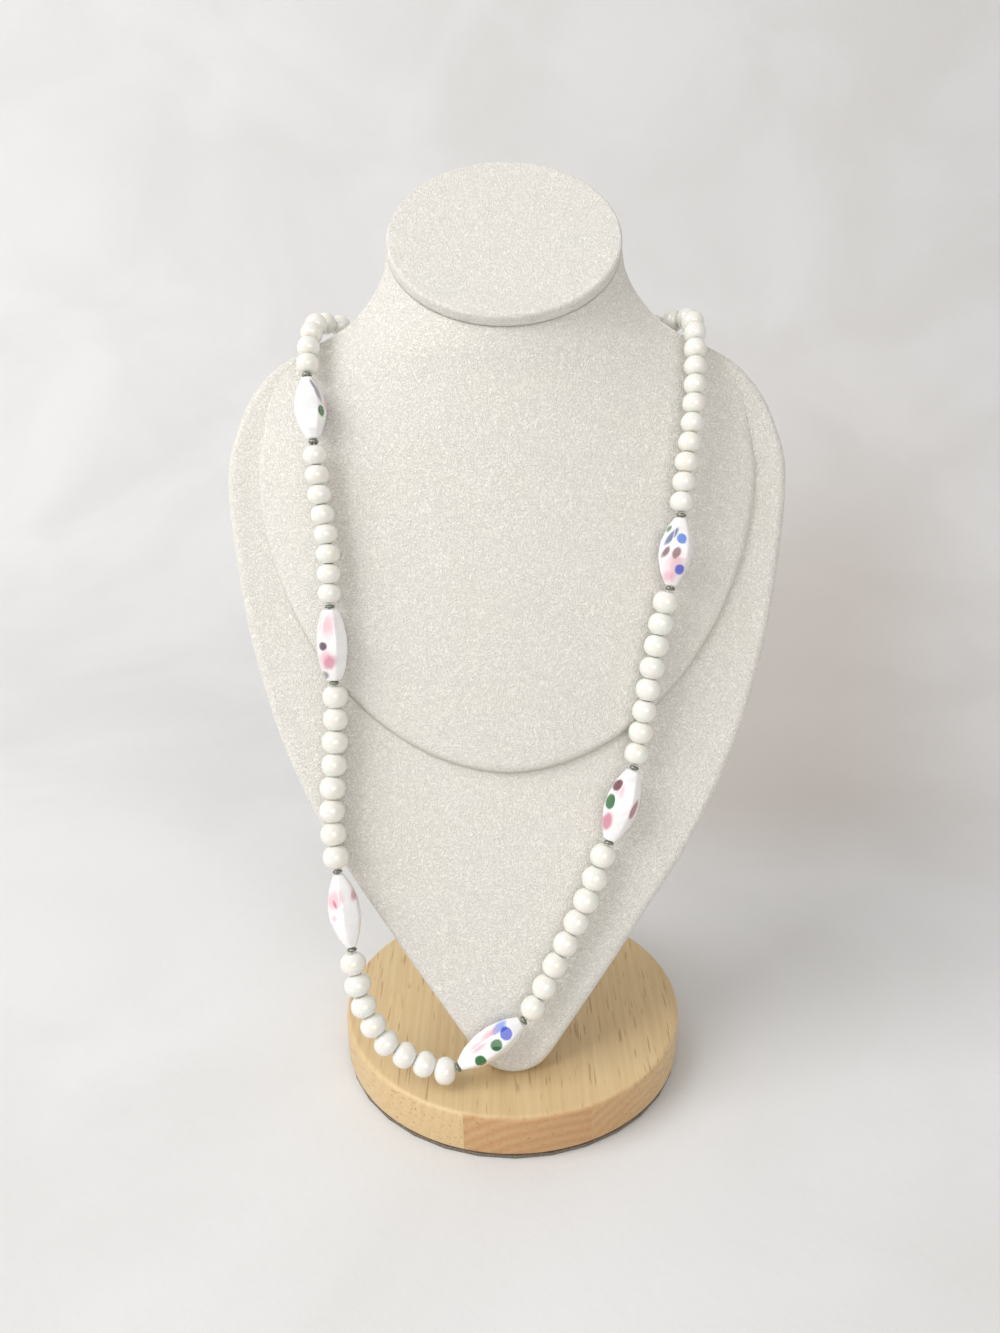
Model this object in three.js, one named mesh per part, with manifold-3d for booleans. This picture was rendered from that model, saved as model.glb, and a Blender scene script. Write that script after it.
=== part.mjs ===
// A strand of round and long glass beads on a fabric-covered neck bust with a round wooden base.
// Millimetres, +Z up, front of the bust towards -Y.
// The origin is the centre of the underside of the base.

import * as THREE from 'three';
import { mergeVertices } from 'three/addons/utils/BufferGeometryUtils.js';
import Module from 'manifold-3d';

const wasm = await Module();
wasm.setup();

// ---------------------------------------------------------------- driving dimensions

const GAP = 0.3; // clearance between neighbouring pieces

const BASE_RADIUS = 60;
const BASE_THICKNESS = 15;
const BASE_EDGE = 1.6; // rounding of the disc's two rims
const PAD_RADIUS = 59.6;
const PAD_THICKNESS = 1.2;
const PAD_EDGE = 0.3;
const BASE_TOP = PAD_THICKNESS + GAP + BASE_THICKNESS;

// The bust is drawn in a frame of its own, leaning back with its board:
// x across, y up along the board (called "up" below), z out of the board's front face ("out").
const LEAN = THREE.MathUtils.degToRad(20);
const BUST_FOOT = new THREE.Vector3(0, -41.5, BASE_TOP + 1);

const BOARD_THICKNESS = 10;
const BOARD_EDGE = 2.6; // rounding of the board's rims
const BOARD_TOP = 243; // straight top edge, hidden under the neck
const TIP_RADIUS = 15;
const BOARD_SIDES = [
  { up: 6.4, half: 12.3 },
  { up: 45, half: 39 },
  { up: 82, half: 62.5 },
  { up: 118, half: 78 },
  { up: 160, half: 88.2 },
  { up: 198, half: 92.2 },
  { up: 218, half: 87.1 },
  { up: 232, half: 77.6 },
  { up: 239, half: 67 },
  { up: BOARD_TOP, half: 58.5 },
];

// The chest piece: a U-shaped bib below, rounded shoulders, and the neck above.
const BIB_CENTRE = 200; // widest level of the U
const BIB_HALF_WIDTH = 81.5;
const BIB_DROP = 101; // from the widest level down to the lowest point of the U
const BIB_EXPONENT = 1.9;
const NECK_HALF_WIDTH = 38;
const NECK_SIDES = [
  { up: BIB_CENTRE, half: BIB_HALF_WIDTH },
  { up: 222, half: 77.5 },
  { up: 232, half: 71.5 },
  { up: 239, half: 63.4 },
  { up: BOARD_TOP, half: 56.5 },
  { up: 247, half: 50.4 },
  { up: 252, half: 45.6 },
  { up: 258, half: 41.4 },
  { up: 265, half: 38.8 },
  { up: 275, half: NECK_HALF_WIDTH },
  { up: 320, half: NECK_HALF_WIDTH },
];

// crest: height of the chest's middle line; edge: height at its rim;
// round: 1 is a flat dome, 0.5 an ellipse, above 1 a bell that runs out over the shoulders.
const CHEST_SECTIONS = [
  { up: 100, crest: 3, edge: 2.5, round: 1 },
  { up: 150, crest: 9.4, edge: 2.5, round: 1 },
  { up: 200, crest: 14.2, edge: 2.4, round: 1.1 },
  { up: 225, crest: 16.8, edge: 1.6, round: 1.35 },
  { up: 238.8, crest: 19.8, edge: 1.4, round: 1.5 },
  { up: 256, crest: 19.8, edge: 2.4, round: 1 },
  { up: 272, crest: 19.8, edge: 3.65, round: 0.5 },
  { up: 320, crest: 19.8, edge: 3.65, round: 0.5 },
];

const RIM_LIFT = 0.5; // the rim is followed only where it stands this far above the edge
const LEAST_FALL = 0.05; // keeps the crest finite where the rim comes close to the neck's side
const CHEST_FLOOR = -3; // the chest is drawn down to here and trimmed flat against the board
const CHEST_BACK_FROM = 188; // degrees round the section, from the left edge behind the neck
const CHEST_BACK_SWEEP = 164;
const NECK_BACK_FLAT = 280; // level from which the neck's back stands clear of the board's

// Where the slanted top of the neck meets its front and its back.
const SEAT_FRONT = { up: 238.8, out: 19.8 };
const SEAT_BACK = { up: 302, out: -12.5 };
const CAP_THICKNESS = 4.5;
const CAP_EDGE = 0.9;

const POST_WIDTH = 22;
const POST_FRONT = -8;
const POST_BACK = 10;

// Thread route, from the clasp round the back of the neck, down the left side and up the right.
const ROUTE = [
  { x: 23.1, up: 244.6, out: -14.2 },
  { x: -0.9, up: 243.8, out: -14.4 },
  { x: -24.9, up: 244.6, out: -14.2 },
  { x: -44.9, up: 247.5, out: -13.2 },
  { x: -56.4, up: 249.8, out: -10.2 },
  { x: -61.4, up: 248.2, out: -2.6 },
  { x: -62.8, up: 242.2, out: 4.8 },
  { x: -63.3, up: 234, out: 8.4 },
  { x: -62.5, up: 221, out: 11.6 },
  { x: -60.9, up: 206, out: 13.2 },
  { x: -59.5, up: 190, out: 13 },
  { x: -57.1, up: 172, out: 12.2 },
  { x: -56.9, up: 155, out: 10.8 },
  { x: -56.5, up: 136, out: 8.6 },
  { x: -56.3, up: 121, out: 5.4 },
  { x: -57.1, up: 104, out: 4.8 },
  { x: -57.9, up: 87, out: 4.9 },
  { x: -56.5, up: 70, out: 5.2 },
  { x: -53.5, up: 52, out: 5.6 },
  { x: -51.3, up: 37, out: 5.6 },
  { x: -48.1, up: 24.4, out: 5.5 },
  { x: -41.3, up: 13, out: 5.5 },
  { x: -31.9, up: 7.2, out: 5.6 },
  { x: -20.9, up: 3.7, out: 5.8 },
  { x: -7.5, up: 12.3, out: 6 },
  { x: 4.5, up: 21.2, out: 5.2 },
  { x: 13.7, up: 37.4, out: 4.8 },
  { x: 23.5, up: 57, out: 4.8 },
  { x: 30.1, up: 74, out: 4.9 },
  { x: 36.1, up: 90, out: 6 },
  { x: 41.1, up: 107, out: 5.5 },
  { x: 44.1, up: 125, out: 8.4 },
  { x: 48.1, up: 146, out: 10.4 },
  { x: 52.7, up: 168, out: 12.8 },
  { x: 55.7, up: 192, out: 13.6 },
  { x: 59.1, up: 214, out: 12.8 },
  { x: 60.5, up: 232, out: 9.4 },
  { x: 61.2, up: 243.2, out: 4.4 },
  { x: 60, up: 249, out: -4.4 },
  { x: 48.1, up: 248.4, out: -12.6 },
];
const LOOP_CENTRE = { x: 0, up: 140 };
const THREAD_DIVISIONS = 4000; // for measuring along the thread

const BEAD_HOLE_ANGLE = 15; // degrees from a bead's axis to the rim of its hole
const BEAD_END_ANGLE = 12; // a little less, so that joined beads keep to their pitch
const LONG_BEAD_SIDES = 6;
const LONG_BEAD_SHOULDER = 0.33; // level of a long bead's shoulder, as a share of its length
const LONG_BEAD_MIDDLE = 0.1; // the same for the end of its widest part
const SPACER_RADIUS = 1.6;
const SPACER_LENGTH = 1;
const CLASP_RADIUS = 2.6;
const CLASP_LENGTH = 12;

// The strand in order from one side of the clasp to the other.
// Round beads are given as a count with one bead's length along the thread and its diameter.
// Long beads have the radius of their flat ends and that of their shoulders, and a roll in
// degrees from lying with one flat side to the front.
const STRAND = [
  { name: 'beads_back_left', count: 17, length: 6.36, diameter: 7.6 },
  { name: 'long_bead_1', length: 20.5, width: 10.2, end: 2, shoulder: 3.8, roll: 0 },
  { name: 'beads_upper_left', count: 8, length: 6.25, diameter: 7.9 },
  { name: 'long_bead_2', length: 22.9, width: 10.2, end: 2.8, shoulder: 4.3, roll: 5 },
  { name: 'beads_lower_left', count: 8, length: 7.45, diameter: 8.6 },
  { name: 'long_bead_3', length: 24, width: 11, end: 1.9, shoulder: 4, roll: 30 },
  { name: 'beads_bottom', count: 8, length: 7.08, diameter: 8.9 },
  { name: 'long_bead_4', length: 24.4, width: 10.4, end: 2, shoulder: 4.1, roll: -6 },
  { name: 'beads_lower_right', count: 8, length: 7.75, diameter: 8.3 },
  { name: 'long_bead_5', length: 24, width: 11, end: 2.4, shoulder: 4.2, roll: 0 },
  { name: 'beads_upper_right', count: 8, length: 7.1, diameter: 8.2 },
  { name: 'long_bead_6', length: 21.7, width: 11, end: 2, shoulder: 4.1, roll: 4 },
  { name: 'beads_back_right', count: 17, length: 6.32, diameter: 7.5 },
];

// How finely the pieces are faceted.
const BASE_SEGMENTS = 56;
const PAD_SEGMENTS = 32;
const CHEST_FRONT_STEPS = 14;
const CHEST_BACK_STEPS = 8;
const CAP_SEGMENTS = 18; // in a quarter of the cap's outline
const BEAD_SEGMENTS = 10;
const BEAD_RINGS = 5;
const SPACER_SEGMENTS = 10;
const CLASP_SEGMENTS = 16;

const BLOCK_SIZE = 400; // edge of the cutting blocks, larger than any piece

// ---------------------------------------------------------------- materials

function finish(colour, roughness, metalness = 0) {
  return new THREE.MeshStandardMaterial({ color: colour, roughness, metalness });
}

const velvet = () => finish(0xe9e4da, 0.95);
const wood = () => finish(0xe2bf8c, 0.55);
const pearlGlass = () => finish(0xf6f4ec, 0.12);
const whiteGlass = () => finish(0xf7f6f4, 0.08);
const darkMetal = () => finish(0x4a5247, 0.35, 0.8);
const silver = () => finish(0xc9c9c6, 0.3, 1);
const foam = () => finish(0x2c2a28, 0.9);

// ---------------------------------------------------------------- shape helpers

// A smooth curve through one column of a table; it never swings past the rows.
function smoothColumn(rows, column, up) {
  const last = rows.length - 1;
  const at = THREE.MathUtils.clamp(up, rows[0].up, rows[last].up);
  let i = 0;
  while (i < last - 1 && at > rows[i + 1].up) i += 1;
  const step = (k) => rows[k + 1].up - rows[k].up;
  const rise = (k) => (rows[k + 1][column] - rows[k][column]) / step(k);
  const slope = (k) => {
    if (k === 0) return rise(0);
    if (k === last) return rise(last - 1);
    if (rise(k - 1) * rise(k) <= 0) return 0;
    return (2 * rise(k - 1) * rise(k)) / (rise(k - 1) + rise(k));
  };
  const s = (at - rows[i].up) / step(i);
  const start = rows[i][column];
  const end = rows[i + 1][column];
  const pull = step(i) * s * (1 - s);
  return (
    start + (end - start) * s * s * (3 - 2 * s) + pull * ((1 - s) * slope(i) - s * slope(i + 1))
  );
}

// A closed skin through rings of equally many points, with flat ends.
function skin(rings) {
  const count = rings[0].length;
  const corners = [];
  const quad = (a, b, c, d) => corners.push(a, b, c, a, c, d);
  for (let r = 0; r + 1 < rings.length; r += 1) {
    for (let k = 0; k < count; k += 1) {
      const next = (k + 1) % count;
      quad(rings[r][k], rings[r][next], rings[r + 1][next], rings[r + 1][k]);
    }
  }
  for (const [ring, first] of [[rings[0], true], [rings[rings.length - 1], false]]) {
    const middle = new THREE.Vector3();
    ring.forEach((point) => middle.addScaledVector(point, 1 / count));
    for (let k = 0; k < count; k += 1) {
      const next = (k + 1) % count;
      if (first) corners.push(middle, ring[next], ring[k]);
      else corners.push(middle, ring[k], ring[next]);
    }
  }
  return new THREE.BufferGeometry().setFromPoints(corners);
}

function toSolid(geometry) {
  const bare = geometry.clone();
  bare.deleteAttribute('normal');
  bare.deleteAttribute('uv');
  const merged = mergeVertices(bare, 1e-4);
  return new wasm.Manifold(new wasm.Mesh({
    numProp: 3,
    vertProperties: new Float32Array(merged.attributes.position.array),
    triVerts: new Uint32Array(merged.index.array),
  }));
}

function toGeometry(solid) {
  const mesh = solid.getMesh();
  const geometry = new THREE.BufferGeometry();
  geometry.setAttribute('position', new THREE.BufferAttribute(mesh.vertProperties, 3));
  geometry.setIndex(new THREE.BufferAttribute(mesh.triVerts, 1));
  return geometry;
}

function piece(name, geometry, material) {
  const mesh = new THREE.Mesh(geometry, material);
  mesh.name = name;
  return mesh;
}

// ---------------------------------------------------------------- base

// A round plate standing on z = 0, with both rims rounded.
function roundPlate(radius, thickness, edge, segments) {
  const profile = [new THREE.Vector2(0, 0)];
  for (const [height, from] of [[edge, -90], [thickness - edge, 0]]) {
    for (let k = 0; k <= 3; k += 1) {
      const angle = THREE.MathUtils.degToRad(from + 30 * k);
      profile.push(new THREE.Vector2(
        radius - edge + edge * Math.cos(angle),
        height + edge * Math.sin(angle),
      ));
    }
  }
  profile.push(new THREE.Vector2(0, thickness));
  return new THREE.LatheGeometry(profile, segments).rotateX(Math.PI / 2);
}

function makeBase() {
  const pad = piece('base_pad', roundPlate(PAD_RADIUS, PAD_THICKNESS, PAD_EDGE, PAD_SEGMENTS), foam());
  const disc = piece(
    'wood_base',
    roundPlate(BASE_RADIUS, BASE_THICKNESS, BASE_EDGE, BASE_SEGMENTS),
    wood(),
  );
  disc.position.z = PAD_THICKNESS + GAP;
  return [pad, disc];
}

// ---------------------------------------------------------------- bust

const bust = new THREE.Group();
bust.position.copy(BUST_FOOT);
bust.rotation.x = Math.PI / 2 - LEAN;
bust.updateMatrix();

function cuttingBlock(x, y, z) {
  return new THREE.BoxGeometry(BLOCK_SIZE, BLOCK_SIZE, BLOCK_SIZE).translate(x, y, z);
}

// Everything below one height above the table, in the bust's own frame.
function everythingBelow(level) {
  return cuttingBlock(0, 0, level - BLOCK_SIZE / 2).applyMatrix4(bust.matrix.clone().invert());
}

function boardOutline() {
  const right = [];
  for (let angle = -75; angle <= -50; angle += 12.5) {
    const turn = THREE.MathUtils.degToRad(angle);
    right.push([TIP_RADIUS * Math.cos(turn), TIP_RADIUS * (1 + Math.sin(turn))]);
  }
  for (const up of [6.4, 45, 64, 82, 100, 118, 139, 160, 180, 198, 209, 218, 226, 232, 239]) {
    right.push([smoothColumn(BOARD_SIDES, 'half', up), up]);
  }
  right.push([BOARD_SIDES[BOARD_SIDES.length - 1].half, BOARD_TOP]);
  const left = right.map(([x, up]) => [-x, up]).reverse();
  return new THREE.Shape([[0, 0], ...right, ...left].map(([x, up]) => new THREE.Vector2(x, up)));
}

function makeBoard() {
  const slab = new THREE.ExtrudeGeometry(boardOutline(), {
    depth: BOARD_THICKNESS - 2 * BOARD_EDGE,
    bevelThickness: BOARD_EDGE,
    bevelSize: BOARD_EDGE,
    bevelOffset: -BOARD_EDGE,
    bevelSegments: 2,
    steps: 1,
  });
  slab.translate(0, 0, BOARD_EDGE - BOARD_THICKNESS);
  const foot = toSolid(everythingBelow(BASE_TOP + GAP));
  return piece('bust_board', toGeometry(toSolid(slab).subtract(foot)), velvet());
}

function chestHalfWidth(up) {
  if (up >= BIB_CENTRE) return smoothColumn(NECK_SIDES, 'half', up);
  const drop = (BIB_CENTRE - up) / BIB_DROP;
  return BIB_HALF_WIDTH * (1 - drop ** BIB_EXPONENT) ** (1 / BIB_EXPONENT);
}

// The neck's slanted rim is an ellipse; these are its half-width and height at one level.
function neckRim(up) {
  const along = (up - SEAT_FRONT.up) / (SEAT_BACK.up - SEAT_FRONT.up);
  return {
    half: NECK_HALF_WIDTH * 2 * Math.sqrt(Math.max(along * (1 - along), 0)),
    out: SEAT_FRONT.out + along * (SEAT_BACK.out - SEAT_FRONT.out),
  };
}

// Height of the chest's front above the board, across the level "up".
// Above the seat's front edge it is raised so that the slanted cut through it is that ellipse.
function chestFront(x, up) {
  const half = chestHalfWidth(up);
  const edge = smoothColumn(CHEST_SECTIONS, 'edge', up);
  const round = smoothColumn(CHEST_SECTIONS, 'round', up);
  const fall = (at) => Math.max(1 - (at / half) ** 2, 0) ** round;
  let crest = smoothColumn(CHEST_SECTIONS, 'crest', up);
  const rim = neckRim(up);
  if (up > SEAT_FRONT.up && rim.out > edge + RIM_LIFT) {
    crest = edge + (rim.out - edge) / Math.max(fall(rim.half), LEAST_FALL);
  }
  return edge + (crest - edge) * fall(x);
}

function chestBack(x, up) {
  const half = chestHalfWidth(up);
  const edge = smoothColumn(CHEST_SECTIONS, 'edge', up);
  const lean = THREE.MathUtils.smoothstep(up, BOARD_TOP, NECK_BACK_FLAT);
  const back = THREE.MathUtils.lerp(-BOARD_THICKNESS, SEAT_BACK.out, lean);
  return edge + (back - edge) * Math.sqrt(Math.max(1 - (x / half) ** 2, 0));
}

function chestSection(up) {
  const half = chestHalfWidth(up);
  const points = [];
  for (let k = 0; k <= CHEST_FRONT_STEPS; k += 1) {
    const x = -half * Math.cos((Math.PI * k) / CHEST_FRONT_STEPS);
    points.push(new THREE.Vector3(x, up, chestFront(x, up)));
  }
  for (let k = 0; k <= CHEST_BACK_STEPS; k += 1) {
    const share = k / CHEST_BACK_STEPS;
    const angle = THREE.MathUtils.degToRad(CHEST_BACK_FROM + CHEST_BACK_SWEEP * share);
    const x = -half * Math.cos(angle);
    const out = up < BOARD_TOP + GAP ? CHEST_FLOOR : chestBack(x, up);
    points.push(new THREE.Vector3(x, up, out));
  }
  return points;
}

const seat = new THREE.Group();
seat.position.set(0, (SEAT_FRONT.up + SEAT_BACK.up) / 2, (SEAT_FRONT.out + SEAT_BACK.out) / 2);
seat.rotation.x = Math.atan2(SEAT_BACK.out - SEAT_FRONT.out, SEAT_BACK.up - SEAT_FRONT.up);
seat.updateMatrix();
const SEAT_DEPTH = Math.hypot(SEAT_BACK.out - SEAT_FRONT.out, SEAT_BACK.up - SEAT_FRONT.up);

function makeChest() {
  const levels = [9, 18, 28, 38, 50, 62, 76, 90].map(
    (angle) => BIB_CENTRE - BIB_DROP * Math.cos(THREE.MathUtils.degToRad(angle)),
  );
  levels.push(212, 222, 230, 236, SEAT_FRONT.up, BOARD_TOP, BOARD_TOP + GAP);
  levels.push(247, 252, 258, 265, 275, 310);
  const form = toSolid(skin(levels.map(chestSection)));
  const behind = cuttingBlock(0, BOARD_TOP + GAP - BLOCK_SIZE / 2, GAP - BLOCK_SIZE / 2);
  const above = cuttingBlock(0, 0, BLOCK_SIZE / 2).applyMatrix4(seat.matrix);
  const cut = form.subtract(toSolid(behind)).subtract(toSolid(above));
  return piece('chest_and_neck', toGeometry(cut), velvet());
}

function makeCap() {
  const outline = new THREE.Shape();
  outline.absellipse(0, 0, NECK_HALF_WIDTH, SEAT_DEPTH / 2, 0, 2 * Math.PI);
  const disc = new THREE.ExtrudeGeometry(outline, {
    depth: CAP_THICKNESS - 2 * CAP_EDGE,
    bevelThickness: CAP_EDGE,
    bevelSize: CAP_EDGE,
    bevelOffset: -CAP_EDGE,
    bevelSegments: 2,
    curveSegments: CAP_SEGMENTS,
  });
  disc.translate(0, 0, CAP_EDGE + GAP);
  seat.add(piece('neck_cap', disc, velvet()));
  return seat;
}

// An upright block on the base, its top sawn to lie flat against the board's back.
function makePost() {
  const backFace = (y) => {
    const foot = BUST_FOOT.y + (BOARD_THICKNESS + GAP) * Math.cos(LEAN);
    const floor = BUST_FOOT.z - (BOARD_THICKNESS + GAP) * Math.sin(LEAN);
    return floor + (y - foot) / Math.tan(LEAN);
  };
  const side = new THREE.Shape([
    new THREE.Vector2(POST_FRONT, BASE_TOP + GAP),
    new THREE.Vector2(POST_BACK, BASE_TOP + GAP),
    new THREE.Vector2(POST_BACK, backFace(POST_BACK)),
    new THREE.Vector2(POST_FRONT, backFace(POST_FRONT)),
  ]);
  const block = new THREE.ExtrudeGeometry(side, { depth: POST_WIDTH, bevelEnabled: false });
  block.translate(0, 0, -POST_WIDTH / 2);
  block.rotateX(Math.PI / 2).rotateZ(Math.PI / 2);
  return piece('support_post', block, wood());
}

// ---------------------------------------------------------------- strand

const thread = new THREE.CatmullRomCurve3(
  ROUTE.map(({ x, up, out }) => new THREE.Vector3(x, up, out)),
  true,
  'centripetal',
);
thread.arcLengthDivisions = THREAD_DIVISIONS;
const THREAD_LENGTH = thread.getLength();

// Place and cross directions at a distance along the thread, counted round the loop.
function threadFrame(distance) {
  const turn = (((distance / THREAD_LENGTH) % 1) + 1) % 1;
  const centre = thread.getPointAt(turn);
  const along = thread.getTangentAt(turn).normalize();
  const outward = new THREE.Vector3(centre.x - LOOP_CENTRE.x, centre.y - LOOP_CENTRE.up, 0);
  outward.addScaledVector(along, -outward.dot(along)).normalize();
  const side = new THREE.Vector3().crossVectors(along, outward);
  return { centre, along, outward, side };
}

// Round beads joined along the thread: each swells from its hole to its girth and back.
function beadRun(start, { count, length, diameter }) {
  const rings = [];
  const sweep = 180 - 2 * BEAD_HOLE_ANGLE;
  const endAngle = THREE.MathUtils.degToRad(BEAD_END_ANGLE);
  for (let bead = 0; bead < count; bead += 1) {
    for (let k = 0; k < BEAD_RINGS; k += 1) {
      const angle = THREE.MathUtils.degToRad(BEAD_HOLE_ANGLE + (sweep * k) / (BEAD_RINGS - 1));
      const reach = (length / 2) * (1 - Math.cos(angle) / Math.cos(endAngle));
      const radius = (diameter / 2) * Math.sin(angle);
      const frame = threadFrame(start + bead * length + reach);
      const ring = [];
      for (let s = 0; s < BEAD_SEGMENTS; s += 1) {
        const turn = (2 * Math.PI * s) / BEAD_SEGMENTS;
        ring.push(frame.centre.clone()
          .addScaledVector(frame.outward, radius * Math.cos(turn))
          .addScaledVector(frame.side, radius * Math.sin(turn)));
      }
      rings.push(ring);
    }
  }
  return skin(rings);
}

// Turns a piece made along +Y so that it lies along the thread, "ahead" of the given distance
// on the straight line that a long bead holds the thread to.
function layAlong(mesh, distance, ahead = 0) {
  const frame = threadFrame(distance);
  const matrix = new THREE.Matrix4().makeBasis(frame.outward, frame.along, frame.side.negate());
  mesh.quaternion.setFromRotationMatrix(matrix);
  mesh.position.copy(frame.centre).addScaledVector(frame.along, ahead);
  return mesh;
}

// A turned piece about +Y from half of its profile: [radius, height] pairs up to its middle.
function turned(halfProfile, segments) {
  const lower = halfProfile.map(([radius, height]) => new THREE.Vector2(radius, -height));
  const upper = halfProfile.map(([radius, height]) => new THREE.Vector2(radius, height)).reverse();
  return new THREE.LatheGeometry([...lower, ...upper], segments);
}

function longBead({ length, width, end, shoulder, roll }) {
  const flatFront = 180 / LONG_BEAD_SIDES;
  return turned([
    [0, length / 2],
    [end, length / 2],
    [shoulder, length * LONG_BEAD_SHOULDER],
    [width / 2, length * LONG_BEAD_MIDDLE],
  ], LONG_BEAD_SIDES).rotateY(THREE.MathUtils.degToRad(flatFront + roll));
}

function spacer() {
  return turned([
    [0, SPACER_LENGTH / 2],
    [SPACER_RADIUS * 0.75, SPACER_LENGTH / 2],
    [SPACER_RADIUS, SPACER_LENGTH / 5],
  ], SPACER_SEGMENTS);
}

function clasp() {
  return turned([
    [0, CLASP_LENGTH / 2],
    [CLASP_RADIUS * 0.5, CLASP_LENGTH / 2],
    [CLASP_RADIUS * 0.62, CLASP_LENGTH * 0.38],
    [CLASP_RADIUS, CLASP_LENGTH * 0.3],
    [CLASP_RADIUS, CLASP_LENGTH * 0.04],
    [CLASP_RADIUS * 0.9, CLASP_LENGTH * 0.02],
  ], CLASP_SEGMENTS);
}

// A long bead with a spacer at each end, its middle at a distance along the thread.
function longBeadWithSpacers(row, middle) {
  const number = row.name.slice(-1);
  const reach = row.length / 2 + GAP + SPACER_LENGTH / 2;
  return [
    layAlong(piece(`spacer_${number}a`, spacer(), darkMetal()), middle, -reach),
    layAlong(piece(row.name, longBead(row), whiteGlass()), middle),
    layAlong(piece(`spacer_${number}b`, spacer(), darkMetal()), middle, reach),
  ];
}

function makeStrand() {
  const longBeads = STRAND.filter(({ count }) => !count).length;
  const ends = 2 * (SPACER_LENGTH + GAP); // what two spacers add to a long bead
  const filled = STRAND.reduce(
    (sum, { count = 1, length }) => sum + count * length,
    CLASP_LENGTH + longBeads * ends,
  );
  const space = (THREAD_LENGTH - filled) / (STRAND.length + 1);
  const meshes = [layAlong(piece('clasp', clasp(), silver()), 0)];
  let reached = CLASP_LENGTH / 2 + space;
  for (const row of STRAND) {
    if (row.count) {
      meshes.push(piece(row.name, beadRun(reached, row), pearlGlass()));
      reached += row.count * row.length + space;
    } else {
      const span = row.length + ends;
      meshes.push(...longBeadWithSpacers(row, reached + span / 2));
      reached += span + space;
    }
  }
  return meshes;
}

// ---------------------------------------------------------------- assembly

bust.add(makeBoard(), makeChest(), makeCap(), ...makeStrand());

const necklaceOnBust = new THREE.Group();
necklaceOnBust.add(...makeBase(), makePost(), bust);

export default necklaceOnBust;
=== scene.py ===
"""Finished surfaces for a beaded necklace on a fabric-covered neck bust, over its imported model."""

import bisect
import math
import random
from collections import namedtuple

import bmesh
import bpy
from mathutils import Euler, Matrix, Vector, noise


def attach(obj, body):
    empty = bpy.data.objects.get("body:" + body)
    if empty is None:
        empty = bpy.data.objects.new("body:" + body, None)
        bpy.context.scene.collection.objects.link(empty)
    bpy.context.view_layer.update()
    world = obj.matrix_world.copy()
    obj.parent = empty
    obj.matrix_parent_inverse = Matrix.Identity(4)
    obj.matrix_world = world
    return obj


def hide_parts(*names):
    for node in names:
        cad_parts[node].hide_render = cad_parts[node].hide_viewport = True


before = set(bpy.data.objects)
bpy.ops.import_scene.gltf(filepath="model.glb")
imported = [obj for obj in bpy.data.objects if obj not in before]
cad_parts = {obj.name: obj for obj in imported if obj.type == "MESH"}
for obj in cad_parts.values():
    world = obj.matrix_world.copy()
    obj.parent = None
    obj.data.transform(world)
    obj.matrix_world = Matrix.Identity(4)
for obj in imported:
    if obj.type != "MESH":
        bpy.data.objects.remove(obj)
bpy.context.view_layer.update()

bl_info = {
    "name": "Beaded necklace on neck bust",
    "version": (1, 0, 0),
    "blender": (4, 5, 0),
    "location": "3D View > Sidebar > Necklace",
    "description": "Finished surfaces of a beaded necklace and the bust that it hangs on",
    "category": "Object",
}

MM = 0.001


def table(columns, *rows):
    """A list of rows whose columns have names."""
    kind = namedtuple("Row", columns)
    return [kind(*row) for row in rows]


# ------------------------------------------------------------------ sizes, in millimetres

BASE_RADIUS = 60
BASE_BOTTOM = 1.5
BASE_TOP = 16.5
LEAN = math.radians(20)
BUST_FOOT = Vector((0, -41.5, 17.5))

# The bust's own frame: x across, y up along the board, z out of the board's front.
BUST = Matrix.Translation(BUST_FOOT) @ Matrix.Rotation(math.pi / 2 - LEAN, 4, "X")

BASE_SEGMENTS = 144
POST_EDGE_RADIUS = 0.8

BOARD_THICKNESS = 10
BOARD_BACK_RADIUS = 2.6
BOARD_ROWS = 80
BOARD_GAP = 0.05  # between the board's cut tip and the disc
BOARD_TOP = 243
TIP_RADIUS = 15
BOARD_SIDES = table(
    "up half",
    (6.4, 12.3),
    (45, 39),
    (82, 62.5),
    (118, 78),
    (160, 88.2),
    (198, 92.2),
    (218, 87.1),
    (232, 77.6),
    (239, 67),
    (BOARD_TOP, 58.5),
)

BIB_CENTRE = 200
BIB_HALF_WIDTH = 81.5
BIB_DROP = 101
BIB_EXPONENT = 1.9
NECK_HALF_WIDTH = 38
NECK_SIDES = table(
    "up half",
    (BIB_CENTRE, BIB_HALF_WIDTH),
    (222, 77.5),
    (232, 71.5),
    (239, 63.4),
    (BOARD_TOP, 56.5),
    (247, 50.4),
    (252, 45.6),
    (258, 41.4),
    (265, 38.8),
    (275, NECK_HALF_WIDTH),
    (320, NECK_HALF_WIDTH),
)

# crest: height of the chest's middle line; edge: height at its rim;
# bell: 1 is a flat dome, 0.5 an ellipse, above 1 it runs out over the shoulders.
CHEST_SECTIONS = table(
    "up crest edge bell",
    (100, 3, 2.5, 1),
    (150, 9.4, 2.5, 1),
    (200, 14.2, 1.9, 1.1),
    (225, 16.8, 0.3, 1.35),
    (238.8, 19.8, 0.3, 1.5),
    (256, 19.8, 2.4, 1),
    (272, 19.8, 3.65, 0.5),
    (320, 19.8, 3.65, 0.5),
)
SEAT_FRONT = Vector((0, 238.8, 19.8))
SEAT_BACK = Vector((0, 302, -12.5))
CAP_THICKNESS = 4.5
CAP_GAP = 0.3
CAP_TOP_RADIUS = 1.2
CAP_UNDER_RADIUS = 1.0
CAP_SEGMENTS = 112
RIM_ROUND = 2.6  # rounding of the bib's edge beside its seam
RIM_LIFT = 0.5  # the neck's rim is followed only where it stands this far above the edge
LEAST_FALL = 0.05  # keeps the crest finite where the rim comes close to the neck's side
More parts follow.
